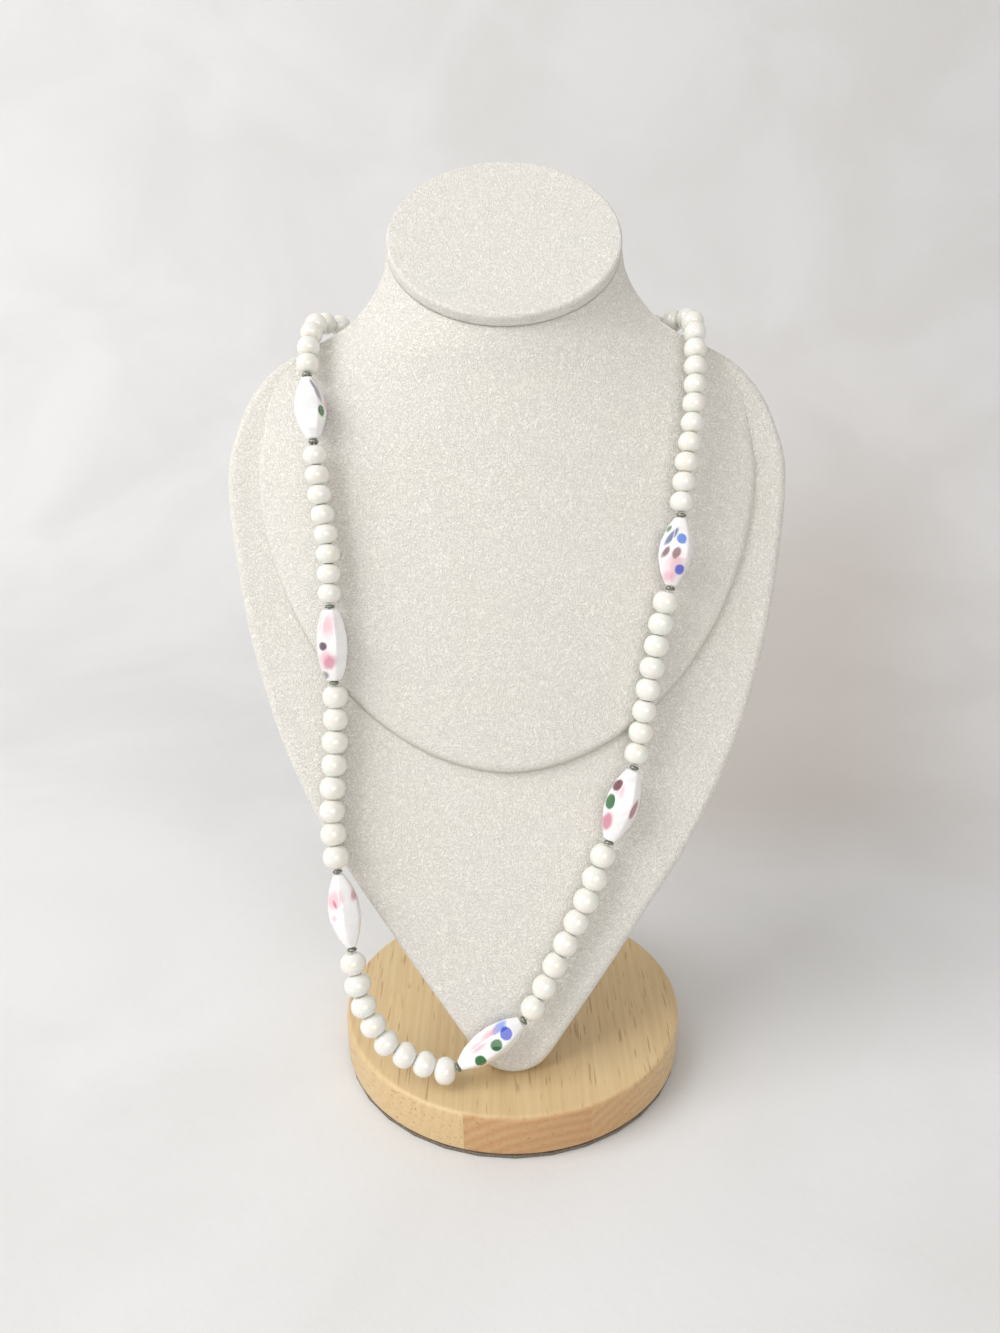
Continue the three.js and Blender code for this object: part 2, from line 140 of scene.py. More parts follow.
TUCK_FADE = 226  # level from which the edge of the shoulders is no longer tucked in
NECK_BACK_FLAT = 280  # level from which the neck's back stands clear of the board's
CLOTH_LIFT = 0.03  # least height of the chest over the board
SEAM_CORE = 0.15  # distance from the outline to which the seam's painted shade is darkest
SEAM_REACH = 1.5  # distance at which it ends
SEAM_FULL = 140  # level up to which the seam's painted shade is dark
SEAM_GONE = 190  # level from which it doesn't show
CHEST_FRONT_STEPS = 84
CHEST_BACK_STEPS = 36

ROUTE = table(
    "x up out",
    (23.1, 244.6, -14.2),
    (-0.9, 243.8, -14.4),
    (-24.9, 244.6, -14.2),
    (-44.9, 247.5, -13.2),
    (-56.4, 249.8, -10.2),
    (-61.4, 248.2, -2.6),
    (-62.8, 242.2, 4.8),
    (-63.3, 234, 8.4),
    (-62.5, 221, 11.6),
    (-60.9, 206, 13.2),
    (-59.5, 190, 13),
    (-57.1, 172, 12.2),
    (-56.9, 155, 10.8),
    (-56.5, 136, 8.6),
    (-56.3, 121, 5.4),
    (-57.1, 104, 4.8),
    (-57.9, 87, 4.9),
    (-56.5, 70, 5.2),
    (-53.5, 52, 5.6),
    (-51.3, 37, 5.6),
    (-48.1, 24.4, 5.5),
    (-41.3, 13, 5.5),
    (-31.9, 7.2, 5.6),
    (-20.9, 3.7, 5.8),
    (-7.5, 12.3, 6),
    (4.5, 21.2, 5.2),
    (13.7, 37.4, 4.8),
    (23.5, 57, 4.8),
    (30.1, 74, 4.9),
    (36.1, 90, 6),
    (41.1, 107, 5.5),
    (44.1, 125, 8.4),
    (48.1, 146, 10.4),
    (52.7, 168, 12.8),
    (55.7, 192, 13.6),
    (59.1, 214, 12.8),
    (60.5, 232, 9.4),
    (61.2, 243.2, 4.4),
    (60, 249, -4.4),
    (48.1, 248.4, -12.6),
)
LOOP_CENTRE = Vector((0, 140, 0))

# Round beads have a count. Long beads have none, their width as diameter, the radius of their
# flat ends and of their shoulders, and a roll in degrees from one flat side to the front.
STRAND = table(
    "name count length diameter end shoulder roll",
    ("beads_back_left", 17, 6.36, 7.6, 0, 0, 0),
    ("long_bead_1", 0, 20.5, 10.2, 2, 3.8, 0),
    ("beads_upper_left", 8, 6.25, 7.9, 0, 0, 0),
    ("long_bead_2", 0, 22.9, 10.2, 2.8, 4.3, 5),
    ("beads_lower_left", 8, 7.45, 8.6, 0, 0, 0),
    ("long_bead_3", 0, 24, 11, 1.9, 4, 30),
    ("beads_bottom", 8, 7.08, 8.9, 0, 0, 0),
    ("long_bead_4", 0, 24.4, 10.4, 2, 4.1, -6),
    ("beads_lower_right", 8, 7.75, 8.3, 0, 0, 0),
    ("long_bead_5", 0, 24, 11, 2.4, 4.2, 0),
    ("beads_upper_right", 8, 7.1, 8.2, 0, 0, 0),
    ("long_bead_6", 0, 21.7, 11, 2, 4.1, 4),
    ("beads_back_right", 17, 6.32, 7.5, 0, 0, 0),
)
ROUND_BEADS = [row for row in STRAND if row.count]
LONG_BEADS = [row for row in STRAND if not row.count]
BEAD_GAP = 0.3
BEAD_FULLNESS = 0.92  # 1 is an ellipse; less has fuller shoulders
BEAD_WIDTH = 0.98  # mean width of a bead, as a share of its diameter in the table
BEAD_END = 1.07  # the bead's curve runs this much past its ends, where it is cut flat
BEAD_TILT = 4  # degrees that a bead sits askew at most
HOLE_SHARE = 0.22  # share of a bead's width that dimples into its hole
DIMPLE_DEPTH = 0.12  # as a share of half the bead's length
SPACER_RADIUS = 1.6
SPACER_LENGTH = 1
CLASP_RADIUS = 2.6
CLASP_LENGTH = 12
LONG_BEAD_SHOULDER = 0.33
LONG_BEAD_MIDDLE = 0.1
LONG_BEAD_EDGE = 0.7  # rounding of its ridges
# From the clasp's end to its middle, as shares of its radius and half-length.
CLASP_OUTLINE = table(
    "radius height",
    (0, 1),
    (0.45, 1),
    (0.5, 0.97),
    (0.62, 0.76),
    (0.94, 0.64),
    (1, 0.56),
    (1, 0.1),
    (0.97, 0.06),
    (0.88, 0.04),
    (0.88, 0),
)
THREAD_RINGS = 420
THREAD_SIDES = 6

# Painted dabs on the long beads: the bead's number, then in millimetres from its middle right
# and up as seen from in front, with the dab's half-width, half-height, lean and softness.
DABS = table(
    "bead right up wide tall lean soft paint",
    (1, 3.2, -2.0, 1.0, 1.7, 0.1, 0.2, "green"),
    (1, 2.7, 3.6, 0.8, 2.9, -0.25, 0.5, "grey_violet"),
    (1, 1.3, 7.0, 0.5, 1.5, -0.3, 0.5, "grey_violet"),
    (1, 4.8, 1.2, 0.7, 2.0, 0.0, 0.7, "rose"),
    (2, -0.7, 6.6, 2.3, 3.4, 0.0, 0.8, "rose"),
    (2, -2.3, 0.0, 1.3, 1.3, 0.0, 0.3, "plum"),
    (2, -1.8, -3.6, 1.8, 1.8, 0.3, 0.7, "rose"),
    (2, -0.3, -5.2, 2.2, 2.2, 0.3, 0.5, "deep_rose"),
    (2, -2.3, -9.4, 1.3, 1.3, 0.0, 0.4, "grey"),
    (3, -2.2, 4.4, 2.8, 2.9, 0.2, 0.7, "rose"),
    (3, -1.9, 3.2, 0.5, 1.2, -0.3, 0.5, "deep_rose"),
    (3, -2.9, -1.2, 0.9, 1.0, 0.0, 0.8, "rose"),
    (3, 4.3, 5.0, 1.0, 1.9, 0.2, 0.6, "deep_rose"),
    (4, -3.4, 5.3, 0.8, 2.8, 0.0, 0.4, "light_blue"),
    (4, -2.7, -3.2, 0.9, 2.6, 0.0, 0.7, "rose"),
    (4, -3.6, 1.8, 0.7, 2.8, 0.0, 0.7, "rose"),
    (4, -0.9, 6.6, 2.0, 1.9, 0.0, 0.15, "blue"),
    (4, 0.0, 2.0, 1.9, 1.9, 0.0, 0.15, "green"),
    (4, 1.4, -5.0, 1.9, 1.8, 0.0, 0.15, "green"),
    (5, -2.2, 5.0, 1.5, 2.3, -0.2, 0.7, "rose"),
    (5, -3.5, 6.0, 1.2, 2.0, 0.3, 0.25, "maroon"),
    (5, -4.1, 0.2, 1.2, 2.5, 0.0, 0.2, "green"),
    (5, -3.1, -5.8, 1.4, 3.0, 0.0, 0.35, "deep_rose"),
    (5, 3.7, 0.0, 1.0, 3.3, 0.1, 0.3, "maroon_rose"),
    (6, -0.2, -4.0, 2.8, 3.8, 0.0, 0.8, "rose"),
    (6, -1.6, -8.2, 1.7, 1.7, 0.0, 0.7, "rose"),
    (6, -2.7, 4.3, 0.9, 3.0, 0.5, 0.35, "slate_blue"),
    (6, -3.4, 6.8, 0.5, 1.2, 0.4, 0.4, "green"),
    (6, 0.4, 4.0, 1.6, 1.6, 0.0, 0.2, "light_blue"),
    (6, -0.7, -0.5, 1.3, 1.8, 0.2, 0.3, "maroon"),
    (6, -3.7, -0.6, 0.8, 1.9, 0.3, 0.4, "maroon"),
    (6, 1.2, -5.5, 1.5, 1.6, 0.0, 0.25, "blue"),
)
PAINTS = {
    "green": (0.008, 0.125, 0.022),
    "blue": (0.045, 0.09, 0.56),
    "light_blue": (0.15, 0.27, 0.72),
    "slate_blue": (0.06, 0.1, 0.24),
    "rose": (0.75, 0.32, 0.4),
    "deep_rose": (0.56, 0.14, 0.23),
    "maroon": (0.13, 0.03, 0.045),
    "maroon_rose": (0.32, 0.07, 0.1),
    "plum": (0.07, 0.03, 0.07),
    "grey_violet": (0.12, 0.1, 0.18),
    "grey": (0.15, 0.15, 0.17),
}


# ------------------------------------------------------------------ settings


def colour_setting(name, description, default):
    return bpy.props.FloatVectorProperty(
        name=name, description=description, subtype="COLOR", size=3, min=0, max=1, default=default
    )


def number_setting(name, description, default, low, high, **kind):
    kind.update(name=name, description=description, default=default, min=low, max=high)
    return bpy.props.FloatProperty(**kind)


LENGTH = {"subtype": "DISTANCE", "unit": "LENGTH"}


class BustSettings(bpy.types.PropertyGroup):
    velvet: colour_setting(
        "Velvet", "Colour of the cloth that covers the bust", (0.835, 0.818, 0.765)
    )
    nap: number_setting("Nap", "Size of the velvet's sandy nap", 0.0008, 0.0003, 0.005, **LENGTH)
    board_rounding: number_setting(
        "Board rounding", "Radius of the board's front edge", 0.003, 0.0005, 0.006, **LENGTH
    )


class BaseSettings(bpy.types.PropertyGroup):
    pale_wood: colour_setting(
        "Pale wood", "Colour of the wood between its grain lines", (0.665, 0.505, 0.277)
    )
    dark_wood: colour_setting(
        "Dark wood", "Colour of the wood's grain lines", (0.565, 0.375, 0.178)
    )
    rim_rounding: number_setting(
        "Rim rounding", "Radius of the wooden disc's rims", 0.0016, 0.0003, 0.005, **LENGTH
    )


class StrandSettings(bpy.types.PropertyGroup):
    pearl: colour_setting("Pearl glass", "Colour of the round beads", (0.79, 0.79, 0.75))
    unevenness: number_setting(
        "Unevenness", "How much the beads differ from one another", 0.035, 0, 0.05, subtype="FACTOR"
    )
    thread_width: number_setting(
        "Thread width", "Diameter of the thread through the beads", 0.0007, 0.0002, 0.0015, **LENGTH
    )


class StageSettings(bpy.types.PropertyGroup):
    window_power: number_setting(
        "Window light", "Power of the large soft light at the left", 21, 0, 500, unit="POWER"
    )
    fill_power: number_setting(
        "Fill light", "Power of the weak soft light in front", 7.5, 0, 500, unit="POWER"
    )
    sky: number_setting("Room light", "Strength of the even light of the room", 0.5, 0, 10)


# ------------------------------------------------------------------ finishes

GLASS = {"Coat Weight": 1.0, "Subsurface Scale": 0.002}
# Colour of the painted shade in the crease along the bib's seam.
SEAM_SHADE_COLOUR = (0.44, 0.4, 0.31)
STAVE_WIDTH = 0.041
RING_WIDTH = 0.0034
END_GRAIN = (0.47, 0.235, 0.095)
WOOD_PORE = (0.36, 0.19, 0.08)


def both_ways(operation):
    """Two methods for an operation: with the varying number first, and with it last."""
    return (
        lambda number, other: number.work_out(operation, number, other),
        lambda number, other: number.work_out(operation, other, number),
    )


class Number:
    """A number that varies over a surface. Arithmetic on it adds the nodes that work it out."""

    def __init__(self, finish, socket):
        self.finish = finish
        self.socket = socket

    def work_out(self, operation, *values):
        sockets = dict(enumerate(values))
        node = self.finish.node("ShaderNodeMath", {"operation": operation}, sockets)
        return Number(self.finish, node.outputs[0])

    __add__, __radd__ = both_ways("ADD")
    __sub__, __rsub__ = both_ways("SUBTRACT")
    __mul__, __rmul__ = both_ways("MULTIPLY")
    __truediv__, __rtruediv__ = both_ways("DIVIDE")

    def __pow__(self, other):
        return self.work_out("POWER", self, other)

    def __abs__(self):
        return self.work_out("ABSOLUTE", self)

    def sine(self):
        return self.work_out("SINE", self)

    def root(self):
        return self.work_out("SQRT", self)

    def floor(self):
        return self.work_out("FLOOR", self)

    def between(self, low, high):
        """Nought below low and one above high, or the reverse when low is the larger."""
        node = self.finish.node(
            "ShaderNodeMapRange",
            {"interpolation_type": "SMOOTHSTEP"},
            {"Value": self, "From Min": min(low, high), "From Max": max(low, high)},
        )
        rising = Number(self.finish, node.outputs[0])
        return rising if high > low else 1 - rising


class Finish:
    """One material: its Principled shader and the nodes that feed it."""

    def __init__(self, name, constants):
        self.material = bpy.data.materials.new(name)
        self.material.use_nodes = True
        self.tree = self.material.node_tree
        self.shader = self.tree.nodes["Principled BSDF"]
        for socket, value in constants.items():
            self.shader.inputs[socket].default_value = value

    def node(self, kind, settings=None, sockets=None):
        """Adds a node, makes its settings, then gives its sockets their values or links."""
        node = self.tree.nodes.new(kind)
        for name, value in (settings or {}).items():
            setattr(node, name, value)
        for key, value in (sockets or {}).items():
            socket = node.inputs[key]
            if isinstance(value, Number):
                self.tree.links.new(value.socket, socket)
            elif isinstance(value, bpy.types.NodeSocket):
                self.tree.links.new(value, socket)
            elif socket.type == "RGBA" and len(value) == 3:
                socket.default_value = (*value, 1)
            else:
                socket.default_value = value
        return node

    def place(self, scale=(1, 1, 1), turn=(0, 0, 0)):
        """The object's own coordinates, turned and scaled for a pattern."""
        source = self.node("ShaderNodeTexCoord").outputs["Object"]
        sockets = {"Vector": source, "Rotation": turn, "Scale": scale}
        return self.node("ShaderNodeMapping", None, sockets).outputs[0]

    def parts(self, vector):
        node = self.node("ShaderNodeSeparateXYZ", None, {0: vector})
        return [Number(self, output) for output in node.outputs]

    def noise(self, vector, scale, detail=3.0, roughness=0.5, distortion=0.0):
        names = ("Vector", "Scale", "Detail", "Roughness", "Distortion")
        values = (vector, scale, detail, roughness, distortion)
        node = self.node("ShaderNodeTexNoise", None, dict(zip(names, values)))
        return Number(self, node.outputs[0])

    def attribute(self, name):
        return self.node("ShaderNodeAttribute", {"attribute_name": name})

    def blend(self, share, first, second):
        """The first colour where the share is nought, the second where it is one."""
        sockets = {0: share, 6: first, 7: second}
        return self.node("ShaderNodeMix", {"data_type": "RGBA"}, sockets).outputs[2]

    def bump(self, height, distance, strength=1.0):
        node = self.node(
            "ShaderNodeBump", None, {"Height": height, "Distance": distance, "Strength": strength}
        )
        self.feed("Normal", node.outputs[0])

    def feed(self, name, value):
        socket = value.socket if isinstance(value, Number) else value
        self.tree.links.new(socket, self.shader.inputs[name])


def shade(colour, factor):
    return tuple(min(channel * factor, 1) for channel in colour)


def velvet_finish(name, settings, seam=False):
    """Short-pile cream velvet with a sandy nap; where its cloth is tucked in along the bib's edge,
    painted shade darkens it.
    """
    sheen = {"Sheen Weight": 0.35, "Sheen Roughness": 0.45, "Specular IOR Level": 0.15}
    cloth = Finish(name, sheen)
    place = cloth.place()
    nap = cloth.noise(place, 1 / settings.nap, 1.5, 0.5, 1.6)
    fuzz = cloth.noise(place, 2.6 / settings.nap, 2.0, 0.6, 0.4)
    cloud = cloth.noise(place, 34, 3.0, 0.55, 0.3)
    tone = nap.between(0.36, 0.6) * 0.75 + fuzz.between(0.3, 0.7) * 0.25
    base = settings.velvet
    warm = (min(base[0] * 1.03, 1), base[1], base[2] * 0.96)
    body = cloth.blend(cloud.between(0.35, 0.65) * 0.5, base, warm)
    colour = cloth.blend(tone, shade(base, 0.81), body)
    if seam:
        # Painted shade: the crease along the bib's seam is darkened in the colour, as if in shadow.
        seam_shade_share = Number(cloth, cloth.attribute("seam").outputs["Fac"])
        colour = cloth.blend(seam_shade_share * 0.55, colour, SEAM_SHADE_COLOUR)
    cloth.feed("Base Color", colour)
    cloth.feed("Roughness", 0.84 + 0.14 * nap)
    cloth.bump(nap.between(0.25, 0.75) * 0.7 + fuzz * 0.3, 0.00045, 0.85)
    return cloth.material


def wood_finish(name, settings, turn=(0, 0, 0)):
    """Pale hardwood glued up from staves; its grain runs from front to back before the turn."""
    wood = Finish(name, {"Coat Weight": 0.12, "Coat Roughness": 0.3})
    x, _, z = wood.parts(wood.place((1, 1, 1), turn))
    wander = wood.noise(wood.place((1, 0.25, 1), turn), 22, 2.0, 0.5)
    stave = (x / STAVE_WIDTH + 0.4).floor()
    shift = (stave * 2.3 + 0.6).sine()
    across = x - stave * STAVE_WIDTH - shift * 0.024
    reach = (across**2 + (z + 0.012 + shift * 0.03) ** 2).root()  # from the tree's heart
    rings = ((reach + wander * 0.007) * (2 * math.pi / RING_WIDTH)).sine() * 0.5 + 0.5
    streaks = wood.noise(wood.place((1, 0.035, 1), turn), 620, 3.0, 0.6)
    pores = wood.noise(wood.place((1, 0.07, 1), turn), 1050, 1.0, 0.5)
    broad = wood.noise(wood.place((1, 0.15, 1), turn), 45, 3.0, 0.5)
    grain = rings.between(0.3, 1.0) * 0.22 + streaks.between(0.35, 0.7) * 0.38
    grain = grain + broad.between(0.4, 0.75) * 0.3 + shift * 0.08
    colour = wood.blend(grain, settings.pale_wood, settings.dark_wood)
    facing = wood.parts(wood.node("ShaderNodeTexCoord").outputs["Normal"])
    sawn = abs(facing[2 if turn[0] else 1])
    depth = 0.42 + 0.12 * rings + (0.3 + 0.12 * rings) * shift
    colour = wood.blend(sawn.between(0.3, 0.95) * depth, colour, END_GRAIN)
    dash = pores.between(0.63, 0.72)
    colour = wood.blend(dash * 0.6, colour, WOOD_PORE)
    wood.feed("Base Color", colour)
    wood.feed("Roughness", 0.38 + 0.2 * streaks)
    wood.bump(streaks * 0.5 + (1 - dash) * 0.5, 0.00012, 0.5)
    return wood.material


def pearl_finish(name, settings):
    """Milk-white glass with a pearly lustre, slightly uneven from the flame."""
    glass = Finish(name, {**GLASS, "Coat Roughness": 0.04, "Subsurface Weight": 0.12})
    place = glass.place()
    cloud = glass.noise(place, 210, 2.0, 0.5, 0.4)
    lustre = glass.noise(place, 120, 1.0, 0.5, 1.2)
    pearl = settings.pearl
    cream = (pearl[0], pearl[1] * 0.975, pearl[2] * 0.93)
    green = (pearl[0] * 0.955, pearl[1], pearl[2] * 0.985)
    colour = glass.blend(cloud.between(0.35, 0.65), pearl, cream)
    colour = glass.blend(lustre.between(0.5, 0.7) * 0.6, colour, green)
    glass.feed("Base Color", colour)
    glass.feed("Roughness", 0.1 + 0.1 * cloud)
    glass.bump(cloud, 0.0003, 0.25)
    return glass.material


def painted_finish(name, dabs):
    """White glass with painted dabs, charted on the bead itself in millimetres."""
    glass = Finish(name, {**GLASS, "Coat Roughness": 0.03, "Subsurface Weight": 0.08})
    place = glass.place()
    swirl = glass.noise(place, 260, 3.0, 0.55, 0.8)
    brush = glass.noise(place, 900, 2.0, 0.5, 0.3)
    right, up, _ = glass.parts(glass.attribute("chart").outputs["Vector"])
    colour = glass.blend(swirl.between(0.35, 0.7), (0.88, 0.88, 0.88), (0.83, 0.825, 0.84))
    for dab in dabs:
        along = up - dab.up
        across = right - dab.right - along * dab.lean
        reach = ((across / dab.wide) ** 2 + (along / dab.tall) ** 2).root()
        edge = reach + (swirl - 0.5) * (0.3 + 1.1 * dab.soft) + (brush - 0.5) * 0.25 * dab.soft
        strength = min(1.1 - 0.67 * dab.soft, 1)
        mask = edge.between(1 + dab.soft * 0.9, 1 - dab.soft) * strength
        colour = glass.blend(mask, colour, PAINTS[dab.paint])
    glass.feed("Base Color", colour)
    glass.feed("Roughness", 0.06 + 0.08 * swirl)
    glass.bump(swirl, 0.0002, 0.15)
    return glass.material


def spacer_finish(name):
    """Dark grey-green glass with a metallic lustre."""
    metal = Finish(name, {"Metallic": 0.75, "Coat Weight": 0.6, "Coat Roughness": 0.08})
    lustre = metal.noise(metal.place(), 900, 2.0, 0.5, 0.6)
    colour = metal.blend(lustre.between(0.35, 0.65), (0.15, 0.18, 0.14), (0.3, 0.29, 0.22))
    metal.feed("Base Color", colour)
    metal.feed("Roughness", 0.22 + 0.2 * lustre)
    return metal.material


def clasp_finish(name):
    """Silver-coloured metal with fine turning marks."""
    metal = Finish(name, {"Metallic": 1.0})
    marks = metal.noise(metal.place((12, 1, 1)), 700, 2.0, 0.5)
    colour = metal.blend(marks.between(0.3, 0.7), (0.74, 0.73, 0.7), (0.84, 0.83, 0.81))
    metal.feed("Base Color", colour)
    metal.feed("Roughness", 0.18 + 0.2 * marks)
    metal.bump(marks, 0.00005, 0.4)
    return metal.material


def thread_finish(name):
    """Waxed off-white thread."""
    thread = Finish(name, {})
    fibre = thread.noise(thread.place(), 2600, 2.0, 0.5)
    thread.feed("Base Color", thread.blend(fibre, (0.7, 0.68, 0.62), (0.86, 0.85, 0.8)))
    thread.feed("Roughness", 0.5 + 0.3 * fibre)
    return thread.material


def pad_finish(name):
    """Dark finish with a fine cell texture for the thin disc under the base; it shows as a dark line
    along the base's bottom rim.
    """
    under_pad = Finish(name, {})
    cells = under_pad.noise(under_pad.place(), 1500, 2.0, 0.6)
    colour = under_pad.blend(cells.between(0.3, 0.7), (0.12, 0.1, 0.08), (0.22, 0.19, 0.155))
    under_pad.feed("Base Color", colour)
    under_pad.feed("Roughness", 0.8 + 0.18 * cells)
    under_pad.bump(cells, 0.0002, 0.5)
    return under_pad.material


def paper_finish(name):
    """Matt white backdrop paper, faintly uneven, with the bust's warm shadow painted on it behind
    one side.
    """
    paper = Finish(name, {"Roughness": 0.85})
    sheet = paper.noise(paper.place(), 7, 4.0, 0.5, 0.6)
    x, y, _ = paper.parts(paper.place())
    colour = paper.blend(sheet.between(0.3, 0.7), (0.675, 0.67, 0.665), (0.73, 0.73, 0.73))
    # Painted shadow: a warm darker band where the bust's shadow falls on the paper at its right.
    beside = abs(x - 0.06 - y * 0.35).between(0.2, 0.03)
    behind = y.between(0.07, 0.2) * y.between(0.75, 0.45)
    colour = paper.blend(beside * behind * 0.65, colour, (0.48, 0.42, 0.375))
    paper.feed("Base Color", colour)
    fibres = paper.noise(paper.place(), 260, 3.0, 0.6)
    paper.bump(sheet * 0.8 + fibres * 0.2, 0.003, 0.2)
    return paper.material


# ------------------------------------------------------------------ shape helpers

LARGE_FACE_AREA = 1000  # square millimetres
FRAME_WIDTH = 0.5


def make_object(shape, name, material):
    """Puts a shape into the scene as a smooth object."""
    bmesh.ops.recalc_face_normals(shape, faces=shape.faces)
    mesh = bpy.data.meshes.new(name)
    shape.to_mesh(mesh)
    shape.free()
    mesh.materials.append(material)
    mesh.shade_smooth()
    made = bpy.data.objects.new(name, mesh)
    bpy.context.scene.collection.objects.link(made)
    return made


def finish_piece(shape, name, material, nodes, place=BUST, flat_angle=40):
    """Makes a piece of the object from a shape in millimetres, standing for the given nodes."""
    shape.transform(Matrix.Scale(MM, 4) @ place)
    piece = make_object(shape, name, material)
    piece.data.set_sharp_from_angle(angle=math.radians(flat_angle))
    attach(piece, "root")
    if nodes:
        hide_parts(*nodes)


def smooth_column(rows, column, up):
    """A smooth curve through one column of a table; it never swings past the rows."""
    values = [getattr(row, column) for row in rows]
    last = len(rows) - 1
    at = min(max(up, rows[0].up), rows[last].up)
    i = 0
    while i < last - 1 and at > rows[i + 1].up:
        i += 1

    def step(k):
        return rows[k + 1].up - rows[k].up

    def rise(k):
        return (values[k + 1] - values[k]) / step(k)

    def slope(k):
        if k == 0:
            return rise(0)
        if k == last:
            return rise(last - 1)
        before, after = rise(k - 1), rise(k)
        return 0 if before * after <= 0 else 2 * before * after / (before + after)

    s = (at - rows[i].up) / step(i)
    pull = step(i) * s * (1 - s)
    return (
        values[i]
        + (values[i + 1] - values[i]) * s * s * (3 - 2 * s)
        + pull * ((1 - s) * slope(i) - s * slope(i + 1))
    )


def smooth_step(value, low, high):
    s = min(max((value - low) / (high - low), 0), 1)
    return s * s * (3 - 2 * s)


def only(kind, items):
    return [item for item in items if isinstance(item, kind)]


def weld(shape, distance=0.001):
    bmesh.ops.remove_doubles(shape, verts=shape.verts, dist=distance)


def right_angled_edges(shape):
    """Edges between faces that meet at about a right angle."""
    return [
        edge
        for edge in shape.edges
        if len(edge.link_faces) == 2 and edge.calc_face_angle() > math.radians(60)
    ]


def round_edges(shape, edges, radius, segments):
    bmesh.ops.bevel(
        shape,
        geom=edges,
        offset=radius,
        offset_type="OFFSET",
        affect="EDGES",
        segments=segments,
        profile=0.5,
        material=-1,
        clamp_overlap=True,
    )


def inset_large_faces(shape):
    """Frames the large flat faces, so that their shading stays flat up to the rim."""
    large = [face for face in shape.faces if face.calc_area() > LARGE_FACE_AREA]
    for face in large:
        bmesh.ops.inset_region(shape, faces=[face], thickness=FRAME_WIDTH, use_even_offset=True)


def plate(shape, outline, thickness, top_radius, bottom_radius, segments=6):
    """A flat plate from its outline, its top rim and bottom rim rounded."""
    face = shape.faces.new([shape.verts.new((x, y, -thickness)) for x, y in outline])
    raised = bmesh.ops.extrude_face_region(shape, geom=[face])["geom"]
    verts = only(bmesh.types.BMVert, raised)
    bmesh.ops.translate(shape, verts=verts, vec=(0, 0, thickness))
    bmesh.ops.recalc_face_normals(shape, faces=shape.faces)
    for height, radius in ((0, top_radius), (-thickness, bottom_radius)):
        rim = [
            edge for edge in shape.edges if all(abs(v.co.z - height) < 1e-4 for v in edge.verts)
        ]
        round_edges(shape, rim, radius, segments)
    inset_large_faces(shape)


# ------------------------------------------------------------------ base


def circle(radius_x, radius_y, count):
    turns = [2 * math.pi * k / count for k in range(count)]
    return [(radius_x * math.cos(turn), radius_y * math.sin(turn)) for turn in turns]


class NECKLACE_OT_wood_base(bpy.types.Operator):
    """Makes the round wooden base"""

    bl_idname = "necklace.wood_base"
    bl_label = "Wooden base"

    def execute(self, context):
        settings = context.scene.necklace_base
        shape = bmesh.new()
        radius = settings.rim_rounding / MM
        outline = circle(BASE_RADIUS, BASE_RADIUS, BASE_SEGMENTS)
        plate(shape, outline, BASE_TOP - BASE_BOTTOM, radius, radius)
        wood = wood_finish("pale_wood", settings)
        place = Matrix.Translation((0, 0, BASE_TOP))
        finish_piece(shape, "wood_base_disc", wood, ["wood_base"], place)
        return {"FINISHED"}


class NECKLACE_OT_dark_pad(bpy.types.Operator):
    """Gives the thin disc under the base its dark finish"""

    bl_idname = "necklace.foam_pad"
    bl_label = "Dark pad"

    def execute(self, context):
        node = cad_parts["base_pad"]
        node.data.materials.clear()
        node.data.materials.append(pad_finish("pad_foam"))
        return {"FINISHED"}


class NECKLACE_OT_support_post(bpy.types.Operator):
    """Makes the wooden post behind the board, its edges eased"""

    bl_idname = "necklace.support_post"
    bl_label = "Support post"

    def execute(self, context):
        shape = bmesh.new()
        shape.from_mesh(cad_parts["support_post"].data)
        bmesh.ops.scale(shape, vec=(1 / MM,) * 3, verts=shape.verts)
        weld(shape, 0.01)
        bmesh.ops.dissolve_limit(
            shape, angle_limit=math.radians(2), verts=shape.verts, edges=shape.edges
        )
        round_edges(shape, right_angled_edges(shape), POST_EDGE_RADIUS, 3)
        upright = (math.pi / 2, 0, 0)
        wood = wood_finish("post_wood", context.scene.necklace_base, upright)
        place = Matrix.Identity(4)
        finish_piece(shape, "support_post_block", wood, ["support_post"], place)
        return {"FINISHED"}


# ------------------------------------------------------------------ bust


def board_outline():
    """Half of the board's outline from its tip up, then mirrored."""
    right = []
    for step in range(1, 8):
        turn = math.radians(-90 + 40 * step / 7)  # the round tip runs 40 degrees up each side
        right.append((TIP_RADIUS * math.cos(turn), TIP_RADIUS * (1 + math.sin(turn))))
    for step in range(BOARD_ROWS + 1):
        up = BOARD_SIDES[0].up + (BOARD_TOP - BOARD_SIDES[0].up) * step / BOARD_ROWS
        right.append((smooth_column(BOARD_SIDES, "half", up), up))
    left = [(-x, up) for x, up in reversed(right)]
    return [(0, 0), *right, *left]


